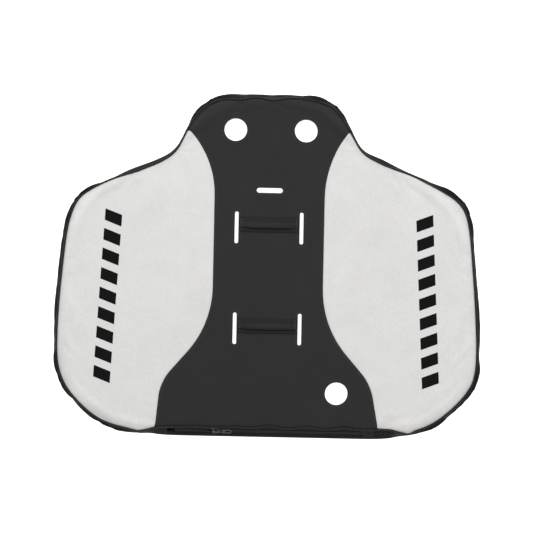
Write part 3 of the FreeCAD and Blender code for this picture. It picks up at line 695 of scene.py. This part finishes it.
def capsules(name, rows, radius):
    """Stitches as one mesh: each row is a middle, a half length vector and an upward normal."""
    points, faces = [], []
    for middle, along, up in rows:
        across = along.cross(up).normalized()
        first = len(points)
        for t, width in STITCH_SHAPE:
            sink = up * (-0.6 * radius * abs(t) ** 2)
            for k in range(STITCH_SIDES):
                turn = 2 * math.pi * k / STITCH_SIDES
                ring = across * math.cos(turn) + up * (0.75 * math.sin(turn))
                points.append(middle + along * t + sink + ring * (radius * width))
        last = first + (len(STITCH_SHAPE) - 1) * STITCH_SIDES
        for here in range(first, last, STITCH_SIDES):
            for k in range(STITCH_SIDES):
                a, b = here + k, here + (k + 1) % STITCH_SIDES
                faces.append((a, b, b + STITCH_SIDES, a + STITCH_SIDES))
        faces.append(tuple(first + k for k in reversed(range(STITCH_SIDES))))
        faces.append(tuple(last + k for k in range(STITCH_SIDES)))
    piece = mesh_object(name, points, faces)
    finish_piece(piece, "cover", "thread")
    return piece


def stitch_rows(line, pitch=3.6 * MM, length=2.5 * MM, closed=False):
    """Stitches lying on the front face along a plane line."""
    along = resample(line, pitch, closed=closed)
    follow = np.roll(along, -1, axis=0) if closed else along[1:]
    rows = []
    for (x0, y0), (x1, y1) in zip(along, follow):
        place, normal = on_front((x0 + x1) / 2, (y0 + y1) / 2)
        if place:
            run = Vector((x1 - x0, y1 - y0, 0))
            run = (run - normal * run.dot(normal)).normalized() * (length / 2)
            rows.append((place, run, normal))
    return rows


def carried(line):
    """A line in the plane, moved as the shell is."""
    return settled(np.column_stack([line, np.zeros(len(line))]))[:, :2]


def shifted(line, move):
    side = np.gradient(line, axis=0)
    side = np.column_stack([side[:, 1], -side[:, 0]]) / np.linalg.norm(side, axis=1)[:, None]
    return line + side * move


rows = []
for name, way in (("left", 1), ("right", -1)):
    line = carried(resample(panel_seams[name], RING_STEP, closed=False)[1:-1])
    rows += stitch_rows(shifted(line, way * 3.0 * MM))
capsules("seam_stitches", rows, 0.28 * MM)
rows = []
for hole in front_holes:
    loop = anticlockwise(hole)
    rows += stitch_rows(loop + outward(loop) * 2.6 * MM, pitch=3.0 * MM, length=2.1 * MM, closed=True)
capsules("hole_stitches", rows, 0.28 * MM)


# ---- keepers between the slots
def grid_piece(name, across, up, place, thickness):
    """A strip of webbing from a grid of places, thickened."""
    points = [place(x, y) for y in up for x in across]
    wide = len(across)
    faces = [
        (j * wide + i, j * wide + i + 1, (j + 1) * wide + i + 1, (j + 1) * wide + i)
        for j in range(len(up) - 1)
        for i in range(wide - 1)
    ]
    piece = mesh_object(name, points, faces)
    skin = piece.modifiers.new("cloth", "SOLIDIFY")
    skin.thickness = thickness
    skin.offset = 0
    edge = piece.modifiers.new("edge", "BEVEL")
    edge.width = 0.25 * MM
    edge.segments = 2
    edge.limit_method = "ANGLE"
    return piece


def ribbed(place, depth, pitch):
    """How far a woven strip's ribs raise it at one place across them."""
    return depth * MM * math.sin(2 * math.pi * place / pitch)


def keeper(row):
    """A base tape and a flap folded over it between two slots, with the tacks at the flap's ends."""
    base_low, base_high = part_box(f"keeper_base_{row}")
    flap_low, flap_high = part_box(f"keeper_flap_{row}")
    half = base_high.x
    seed = base_low.y * 40

    def lie(x, y):
        place, _ = on_front(x, y)
        return place.z if place else TOP_Z

    def base_place(x, y):
        ribs = ribbed(y, 0.09, WEB_PITCH)
        slack = 1 - (x / half) ** 6
        below = (flap_low.y - 2.9 * MM - y) / (1.0 * MM)
        roll = 1.9 * MM * slack * smooth_step(below) * (1 - 0.75 * smooth_step((below - 1) / 4))
        return x, y, lie(x, y) + 0.55 * MM + ribs + float(roll)

    def flap_place(x, y):
        share = (flap_high.y - y) / (flap_high.y - flap_low.y)
        slack = (1 - (x / half) ** 4) * (1 + 0.3 * noise.noise(Vector((x * 30, 0, seed))))
        swell = (0.3 + 2.1 * smooth_step((share - 0.35) / 0.5)) * smooth_step(share * 3)
        lift = (1.3 + swell * slack) * MM
        sag = -1.2 * MM * share * slack
        return x, y + sag, lie(x, y) + lift + ribbed(y, 0.10, WEB_PITCH)

    across = np.linspace(-half, half, 65)
    base_up = np.linspace(base_low.y, base_high.y, 41)
    flap_up = np.linspace(flap_low.y, flap_high.y + 0.4 * MM, 33)
    base = grid_piece(f"soft_keeper_base_{row}", across, base_up, base_place, 0.9 * MM)
    finish_piece(base, "cover", "webbing", [f"keeper_base_{row}"])
    flap = grid_piece(f"soft_keeper_flap_{row}", across, flap_up, flap_place, 1.1 * MM)
    finish_piece(flap, "cover", "webbing", [f"keeper_flap_{row}"])
    rows = []
    for side in (-1, 1):
        for inset in (1.6, 3.4):
            x = side * (half - inset * MM)
            for y in np.arange(flap_low.y + 1.5 * MM, flap_high.y - 1 * MM, 1.5 * MM):
                height = flap_place(x, y)[2] + 0.6 * MM
                rows.append((Vector((x, y, height)), Vector((0.9 * MM, 0.5 * MM, 0)), Vector((0, 0, 1))))
    tacks = capsules(f"soft_keeper_tacks_{row}", rows, 0.3 * MM)
    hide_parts(f"keeper_tacks_{row}")


for row in ("upper", "lower"):
    keeper(row)


# ---- printed bars, lying on the light panels
def printed(side):
    """The column of plain bars, draped on the front from the outlines of the flat ones."""
    node = f"printed_bars_{side}"
    bm = bmesh.new()
    bm.from_mesh(NODES[node].data)
    bmesh.ops.remove_doubles(bm, verts=bm.verts, dist=1e-6)
    top = max(v.co.z for v in bm.verts)
    lower = [f for f in bm.faces if min(v.co.z for v in f.verts) < top - 1e-5]
    bmesh.ops.delete(bm, geom=lower, context="FACES")
    bmesh.ops.subdivide_edges(bm, edges=bm.edges, cuts=5, use_grid_fill=True)
    for v in bm.verts:
        place, _ = on_front(v.co.x, v.co.y)
        v.co.z = (place.z if place else TOP_Z) + PRINT_LIFT
    mesh = bpy.data.meshes.new(f"soft_{node}")
    bm.to_mesh(mesh)
    bm.free()
    piece = bpy.data.objects.new(f"soft_{node}", mesh)
    bpy.context.scene.collection.objects.link(piece)
    finish_piece(piece, "cover", "print", [node])


for side in ("left", "right"):
    printed(side)


# ---- zip tapes and end tabs
TAPE_EDGES = (1.7 * MM, 7.4 * MM)  # a tape's edges, from the chain line
MOUTH_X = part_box("slider_body")[0].x


def on_slope(x, v, n):
    """A point v up the zip's slope and n out of it."""
    return (
        x,
        -OUTER_Y + v * math.cos(SLOPE) - n * math.sin(SLOPE),
        ZIP_LOW_Z + v * math.sin(SLOPE) + n * math.cos(SLOPE),
    )


def zip_tape(side, way):
    """A woven tape under the folded edge of its strip, on one side of the chain."""
    node = f"zip_tape_{side}"
    low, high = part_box(node)
    across = np.linspace(low.x, high.x, 190)
    up = np.linspace(*sorted(ZIP_MID + way * edge for edge in TAPE_EDGES), 15)

    def place(x, v):
        gap = ZIP_SPREAD * math.exp(-(((x - MOUTH_X) / (14 * MM)) ** 2)) if x < MOUTH_X + 7 * MM else 0
        near = 1 - abs(v - ZIP_MID) / TAPE_EDGES[1]
        return on_slope(x, v + way * gap * near, -1.45 * MM + ribbed(v, 0.07, TAPE_PITCH))

    tape = grid_piece(f"soft_{node}", across, up, place, 0.5 * MM)
    finish_piece(tape, "cover", "zip_tape", [node])


zip_tape("front", 1)
zip_tape("back", -1)


def end_tab(side):
    """The folded tab of webbing sewn over one end of the zip."""
    node = f"zip_end_tab_{side}"
    low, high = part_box(node)
    across = np.linspace(low.x - 1 * MM, high.x + 1 * MM, 17)
    up = np.linspace(2.5 * MM, 18.5 * MM, 17)

    def place(x, v):
        share = (x - low.x) / (high.x - low.x)
        fold = 0.2 * MM * math.sin(math.pi * min(max(share, 0), 1))
        return on_slope(x, v, 0.52 * MM + fold + ribbed(v, 0.05, 2.1 * MM))

    tab = grid_piece(f"soft_{node}", across, up, place, 0.6 * MM)
    finish_piece(tab, "cover", "webbing", [node])
    out = Vector((0, -math.sin(SLOPE), math.cos(SLOPE)))
    rows = []
    for x in (low.x + 1.5 * MM, high.x - 1.5 * MM):
        for v in np.arange(4 * MM, 17.5 * MM, 2.4 * MM):
            a, b = Vector(place(x, v)), Vector(place(x, v + 1.5 * MM))
            rows.append(((a + b) / 2 + out * 0.28 * MM, (b - a) / 2, out))
    capsules(f"zip_end_stitches_{side}", rows, 0.22 * MM)


end_tab("left")
end_tab("right")


# ---- the foam pad inside, read off its solid and softened
FOAM_VOXEL = 3 * MM
FOAM_MID_Z = 11 * MM
FOAM_FLAT = 0.94  # the pad is a little thinner than its solid, to stay clear of the cloth


def foam():
    source = NODES["foam_pad"]
    pad = bpy.data.objects.new("soft_foam_pad", source.data.copy())
    bpy.context.scene.collection.objects.link(pad)
    pad.data.materials.clear()
    remesh = pad.modifiers.new("grain", "REMESH")
    remesh.mode = "VOXEL"
    remesh.voxel_size = FOAM_VOXEL
    graph = bpy.context.evaluated_depsgraph_get()
    mesh = bpy.data.meshes.new_from_object(pad.evaluated_get(graph))
    pad.modifiers.clear()
    pad.data = mesh
    for v in mesh.vertices:
        v.co.z = FOAM_MID_Z + (v.co.z - FOAM_MID_Z) * FOAM_FLAT
    mesh.shade_smooth()
    finish_piece(pad, "cover", "foam", ["foam_pad"])


foam()


# ---- materials
class Paint:
    """A procedural material that is put together from small layers."""

    def __init__(self, name, roughness, coat=0.0, sheen=0.0, specular=0.5):
        self.material = bpy.data.materials.new(name)
        self.material.use_nodes = True
        self.nodes = self.material.node_tree.nodes
        self.links = self.material.node_tree.links
        self.shader = self.nodes["Principled BSDF"]
        self.shader.inputs["Roughness"].default_value = roughness
        self.shader.inputs["Coat Weight"].default_value = coat
        self.shader.inputs["Sheen Weight"].default_value = sheen
        self.shader.inputs["Sheen Roughness"].default_value = 0.5
        self.shader.inputs["Specular IOR Level"].default_value = specular
        self.place = self.nodes.new("ShaderNodeTexCoord").outputs["Object"]

    def node(self, kind, inputs=(), **settings):
        made = self.nodes.new(kind)
        for key, value in settings.items():
            setattr(made, key, value)
        for key, value in dict(inputs).items():
            if isinstance(value, bpy.types.NodeSocket):
                self.links.new(value, made.inputs[key])
            else:
                made.inputs[key].default_value = value
        return made

    def noise(self, size, detail=3.0, rough=0.55):
        """Noise with features of about the given size in metres."""
        inputs = {"Vector": self.place, "Scale": 1 / size, "Detail": detail, "Roughness": rough}
        return self.node("ShaderNodeTexNoise", inputs).outputs["Fac"]

    def bands(self, pitch, direction, distortion=0.0):
        """Ridges a pitch apart across one direction."""
        scale = math.pi / (10 * pitch)
        inputs = {"Vector": self.place, "Scale": scale, "Distortion": distortion, "Detail": 1.0}
        made = self.node("ShaderNodeTexWave", inputs, wave_type="BANDS", bands_direction=direction)
        return made.outputs["Fac"]

    def cells(self, size):
        made = self.node("ShaderNodeTexVoronoi", {"Vector": self.place, "Scale": 1 / size})
        return made.outputs["Distance"]

    def math(self, operation, a, b=0.0):
        return self.node("ShaderNodeMath", {0: a, 1: b}, operation=operation).outputs[0]

    def ramp(self, value, stops):
        made = self.node("ShaderNodeValToRGB", {"Fac": value})
        marks = made.color_ramp.elements
        while len(marks) < len(stops):
            marks.new(0.5)
        for mark, (where, colour) in zip(marks, stops):
            mark.position = where
            mark.color = (*colour, 1)
        return made.outputs["Color"]

    def mix(self, share, a, b, blend="MIX"):
        made = self.node("ShaderNodeMix", data_type="RGBA", blend_type=blend)
        for socket, value in ((made.inputs[0], share), (made.inputs[6], a), (made.inputs[7], b)):
            if isinstance(value, bpy.types.NodeSocket):
                self.links.new(value, socket)
            else:
                socket.default_value = (*value, 1) if isinstance(value, tuple) else value
        return made.outputs[2]

    def span(self, value, low, high):
        return self.node("ShaderNodeMapRange", {"Value": value, "To Min": low, "To Max": high}).outputs[0]

    def finish(self, colour, rough=None, bumps=()):
        """Bumps are (height, strength, distance) from the coarsest to the finest."""
        self.links.new(colour, self.shader.inputs["Base Color"])
        if rough:
            self.links.new(rough, self.shader.inputs["Roughness"])
        normal = None
        for height, strength, distance in bumps:
            inputs = {"Height": height, "Strength": strength, "Distance": distance}
            if normal:
                inputs["Normal"] = normal
            normal = self.node("ShaderNodeBump", inputs).outputs["Normal"]
        if normal:
            self.links.new(normal, self.shader.inputs["Normal"])
        return self.material


def woven(paint, pitch):
    """The height of a plain weave."""
    warp, weft = paint.bands(pitch, "X", 0.3), paint.bands(pitch, "Y", 0.3)
    return paint.math("MAXIMUM", warp, weft)


def shades(colour, spread):
    return tuple(c * (1 - spread) for c in colour), tuple(c * (1 + spread) for c in colour)


def cloth_material(name, colour, spread, mottle, pitch, roughness, sheen, specular, weave_depth):
    """Dyed cloth: a mottled tone between two shades, darker between the threads of its weave."""
    paint = Paint(name, roughness, sheen=sheen, specular=specular)
    dark, light = shades(colour, spread)
    broad = paint.noise(mottle, 4.0)
    fine = paint.noise(2.2 * MM, 2.0)
    both = paint.math("ADD", paint.math("MULTIPLY", broad, 0.6), paint.math("MULTIPLY", fine, 0.4))
    tone = paint.ramp(both, [(0.3, dark), (0.7, light)])
    weave = woven(paint, pitch)
    threads = paint.mix(paint.span(weave, 0.0, 0.35), tone, shades(colour, 0.35)[0])
    rough = paint.span(paint.noise(9 * MM, 3.0), roughness - 0.07, roughness + 0.07)
    bumps = [(broad, 0.15, 1.0 * MM), (paint.noise(4 * MM, 2.0), 0.12, 0.3 * MM), (weave, 0.5, weave_depth)]
    return paint.finish(threads, rough, bumps)


def knit_material():
    """The light laminate: brushed knit over foam, faintly mottled, with painted shade along its edges where
    it rolls down to the seams.
    """
    paint = Paint("light_knit", 0.82, sheen=0.15, specular=0.25)
    broad = paint.noise(38 * MM, 5.0, 0.6)
    fine = paint.noise(2.6 * MM, 3.0, 0.6)
    base = paint.ramp(broad, [(0.3, (0.690, 0.684, 0.674)), (0.7, (0.735, 0.730, 0.721))])
    speck = paint.ramp(fine, [(0.35, (0.90, 0.90, 0.895)), (0.65, (1.0, 1.0, 1.0))])
    tone = paint.mix(0.8, base, speck, "MULTIPLY")
    # painted shade: the knit is darkened towards a warm grey-brown near the outer seam and the panel seams,
    # where it rolls down into shade
    edge = paint.node("ShaderNodeAttribute", attribute_name="edge").outputs["Fac"]
    painted_edge_shade = paint.math("MULTIPLY", edge, paint.span(paint.noise(16 * MM, 3.0), 0.1, 0.8))
    tone = paint.mix(painted_edge_shade, tone, (0.50, 0.475, 0.455))
    weave = woven(paint, 0.9 * MM)
    rough = paint.span(fine, 0.76, 0.9)
    bumps = [(broad, 0.2, 1.2 * MM), (fine, 0.25, 0.25 * MM), (weave, 0.35, 0.10 * MM)]
    return paint.finish(tone, rough, bumps)


def webbing_material(name, colour, pitch):
    paint = Paint(name, 0.6, sheen=0.04, specular=0.2)
    dark, light = shades(colour, 0.25)
    ribs = paint.bands(pitch, "Y")
    picks = paint.bands(pitch * 0.6, "X", 0.5)
    tone = paint.ramp(paint.math("MULTIPLY", ribs, picks), [(0.0, dark), (0.8, light)])
    rough = paint.span(paint.noise(3 * MM, 3.0), 0.52, 0.7)
    return paint.finish(tone, rough, [(ribs, 0.5, 0.25 * MM), (picks, 0.35, 0.12 * MM)])


def thread_material(name, colour):
    paint = Paint(name, 0.55, sheen=0.3, specular=0.35)
    twist = paint.bands(0.5 * MM, "DIAGONAL", 0.4)
    dark, light = shades(colour, 0.3)
    tone = paint.ramp(twist, [(0.1, dark), (0.9, light)])
    return paint.finish(tone, paint.span(paint.noise(2 * MM), 0.48, 0.65), [(twist, 0.4, 0.08 * MM)])


def moulded_material(name, colour, roughness, specular=0.4):
    """Moulded plastic or rubber: a fine grain, dust in places."""
    paint = Paint(name, roughness, specular=specular)
    dark, light = shades(colour, 0.18)
    tone = paint.ramp(paint.noise(6 * MM, 4.0), [(0.35, dark), (0.7, light)])
    grain = paint.cells(0.7 * MM)
    rough = paint.span(paint.noise(2.5 * MM, 4.0), roughness - 0.08, roughness + 0.1)
    return paint.finish(tone, rough, [(grain, 0.15, 0.06 * MM), (paint.noise(5 * MM), 0.1, 0.2 * MM)])


def metal_material():
    """Black painted die-casting, rubbed bright in small patches, which are also brightened as painted glints.
    """
    paint = Paint("black_painted_metal", 0.3, coat=0.5, specular=0.6)
    patches = paint.noise(1.7 * MM, 5.0, 0.65)
    # partly wear, partly painted glints: the rubbed patches are brightened past plain wear to stand in for
    # highlights on the metal
    wear_and_painted_glints = paint.ramp(patches, [(0.60, (0.0, 0.0, 0.0)), (0.72, (1.0, 1.0, 1.0))])
    tone = paint.mix(wear_and_painted_glints, (0.022, 0.022, 0.023), (0.16, 0.155, 0.15))
    rough = paint.span(paint.noise(1.1 * MM, 3.0), 0.16, 0.36)
    return paint.finish(tone, rough, [(patches, 0.2, 0.08 * MM)])


def foam_material():
    paint = Paint("closed_cell_foam", 0.92, specular=0.2)
    cell = paint.cells(1.6 * MM)
    tone = paint.ramp(cell, [(0.0, (0.020, 0.020, 0.021)), (0.7, (0.055, 0.055, 0.057))])
    return paint.finish(tone, paint.span(cell, 0.85, 0.98), [(cell, 0.6, 0.4 * MM)])


def print_material():
    paint = Paint("black_print", 0.75, specular=0.08)
    crack = paint.noise(1.4 * MM, 5.0, 0.7)
    tone = paint.ramp(crack, [(0.30, (0.003, 0.003, 0.003)), (0.8, (0.007, 0.007, 0.007))])
    weave = woven(paint, 0.9 * MM)
    return paint.finish(tone, paint.span(crack, 0.6, 0.8), [(weave, 0.25, 0.06 * MM)])


LAMINATE_BLACK = (0.0235, 0.0229, 0.0230)
GUSSET_BLACK = (0.0085, 0.0082, 0.0082)
PIPING_BLACK = (0.009, 0.0086, 0.0086)
MATERIALS = {  # for each of the record's material slots
    "black_laminate": cloth_material(
        "black_knit_laminate", LAMINATE_BLACK, spread=0.10, mottle=45 * MM, pitch=0.9 * MM,
        roughness=0.8, sheen=0.05, specular=0.2, weave_depth=0.12 * MM,
    ),
    "light_laminate": knit_material(),
    "gusset_fabric": cloth_material(
        "black_woven_nylon", GUSSET_BLACK, spread=0.2, mottle=24 * MM, pitch=0.8 * MM,
        roughness=0.66, sheen=0.03, specular=0.16, weave_depth=0.16 * MM,
    ),
    "piping": cloth_material(
        "black_piping_cloth", PIPING_BLACK, spread=0.2, mottle=12 * MM, pitch=0.7 * MM,
        roughness=0.6, sheen=0.05, specular=0.25, weave_depth=0.1 * MM,
    ),
    "seam_tape": webbing_material("black_seam_tape", (0.02, 0.02, 0.02), 1.2 * MM),
    "foam": foam_material(),
    "stiffener": moulded_material("black_sheet_plastic", (0.02, 0.02, 0.021), 0.45),
    "liner": moulded_material("black_rubber", (0.018, 0.018, 0.018), 0.62, 0.3),
    "webbing": webbing_material("black_webbing", (0.012, 0.0116, 0.0116), WEB_PITCH),
    "thread": thread_material("black_thread", (0.030, 0.029, 0.029)),
    "print": print_material(),
    "zip_tape": webbing_material("black_zip_tape", (0.015, 0.015, 0.0155), TAPE_PITCH),
    "zip_teeth": moulded_material("black_acetal", (0.017, 0.017, 0.018), 0.34, 0.5),
    "slider": metal_material(),
}


for piece in bpy.context.scene.objects:
    if "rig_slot" in piece:
        piece.data.materials.clear()
        piece.data.materials.append(MATERIALS[piece["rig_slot"]])
for node in NODES.values():
    for holder in node.material_slots:
        holder.material = MATERIALS[holder.material.name.split(".")[0]]


def edge_shade(piece, reach):
    """Marks how near each point is to the outer seam and the panel seams, for the painted shade there."""
    places = np.array([tuple(v.co) for v in piece.data.vertices])[:, :2]
    near = distance_to(places, shell[:COUNT, :2])
    seam = np.minimum(*(distance_to(places, carried(line), closed=False) for line in seams.values()))
    value = np.exp(-near / reach) + 0.5 * np.exp(-seam / (reach * 0.5))
    layer = piece.data.attributes.new("edge", "FLOAT", "POINT")
    layer.data.foreach_set("value", np.clip(value, 0, 1).astype(np.float32))


for side in ("left", "right"):
    edge_shade(bpy.data.objects[f"soft_front_{side}"], 3.0 * MM)


# ---- studio
FLOOR_HALF = 8
FLOOR_Z = -2 * MM
FILL = 0.62
LIGHTS = [  # name, place, size and power
    ("softbox_head", (-0.5, 2.2, 2.6), (2.2, 1.2), 62.0),
    ("softbox_side", (2.4, -0.6, 2.2), (1.0, 1.6), 14.0),
]


def studio():
    """A white floor that is as bright as the background, a soft fill and two soft boxes."""
    scene = bpy.context.scene
    corners = [(x * FLOOR_HALF, y * FLOOR_HALF, FLOOR_Z) for x, y in ((-1, -1), (1, -1), (1, 1), (-1, 1))]
    floor = mesh_object("floor", corners, [(0, 1, 2, 3)], smooth=False)
    white = Paint("white_floor", 0.9, specular=0.0)
    tone = white.ramp(white.noise(0.5), [(0.3, (0.90, 0.90, 0.90)), (0.7, (0.92, 0.92, 0.92))])
    white.shader.inputs["Emission Color"].default_value = (1, 1, 1, 1)
    white.shader.inputs["Emission Strength"].default_value = 1.0
    floor.data.materials.append(white.finish(tone))
    world = bpy.data.worlds.new("studio")
    world.use_nodes = True
    back = world.node_tree.nodes["Background"]
    back.inputs["Color"].default_value = (1.0, 1.0, 0.995, 1)
    back.inputs["Strength"].default_value = FILL
    scene.world = world
    for name, place, size, power in LIGHTS:
        light = bpy.data.lights.new(name, "AREA")
        light.shape = "RECTANGLE"
        light.size, light.size_y = size
        light.energy = power
        lamp = bpy.data.objects.new(name, light)
        lamp.location = place
        lamp.rotation_euler = (-Vector(place)).to_track_quat("-Z", "Y").to_euler()
        scene.collection.objects.link(lamp)
    scene.view_settings.view_transform = "Standard"


# ---- camera: straight above, a little turned, framed as 533 by 533
ROLL = math.radians(1.17)
VIEW_WIDTH = 0.8760  # what the picture's width takes in, at the front face
VIEW_MIDDLE = (-0.0029, -0.0008)
LENS, SENSOR = 200.0, 36.0


def camera():
    data = bpy.data.cameras.new("camera")
    data.lens, data.sensor_width = LENS, SENSOR
    data.clip_end = 100
    eye = bpy.data.objects.new("camera", data)
    eye.location = (*VIEW_MIDDLE, TOP_Z + VIEW_WIDTH * LENS / SENSOR)
    eye.rotation_euler = (0, 0, ROLL)
    bpy.context.scene.collection.objects.link(eye)
    bpy.context.scene.camera = eye


studio()
camera()
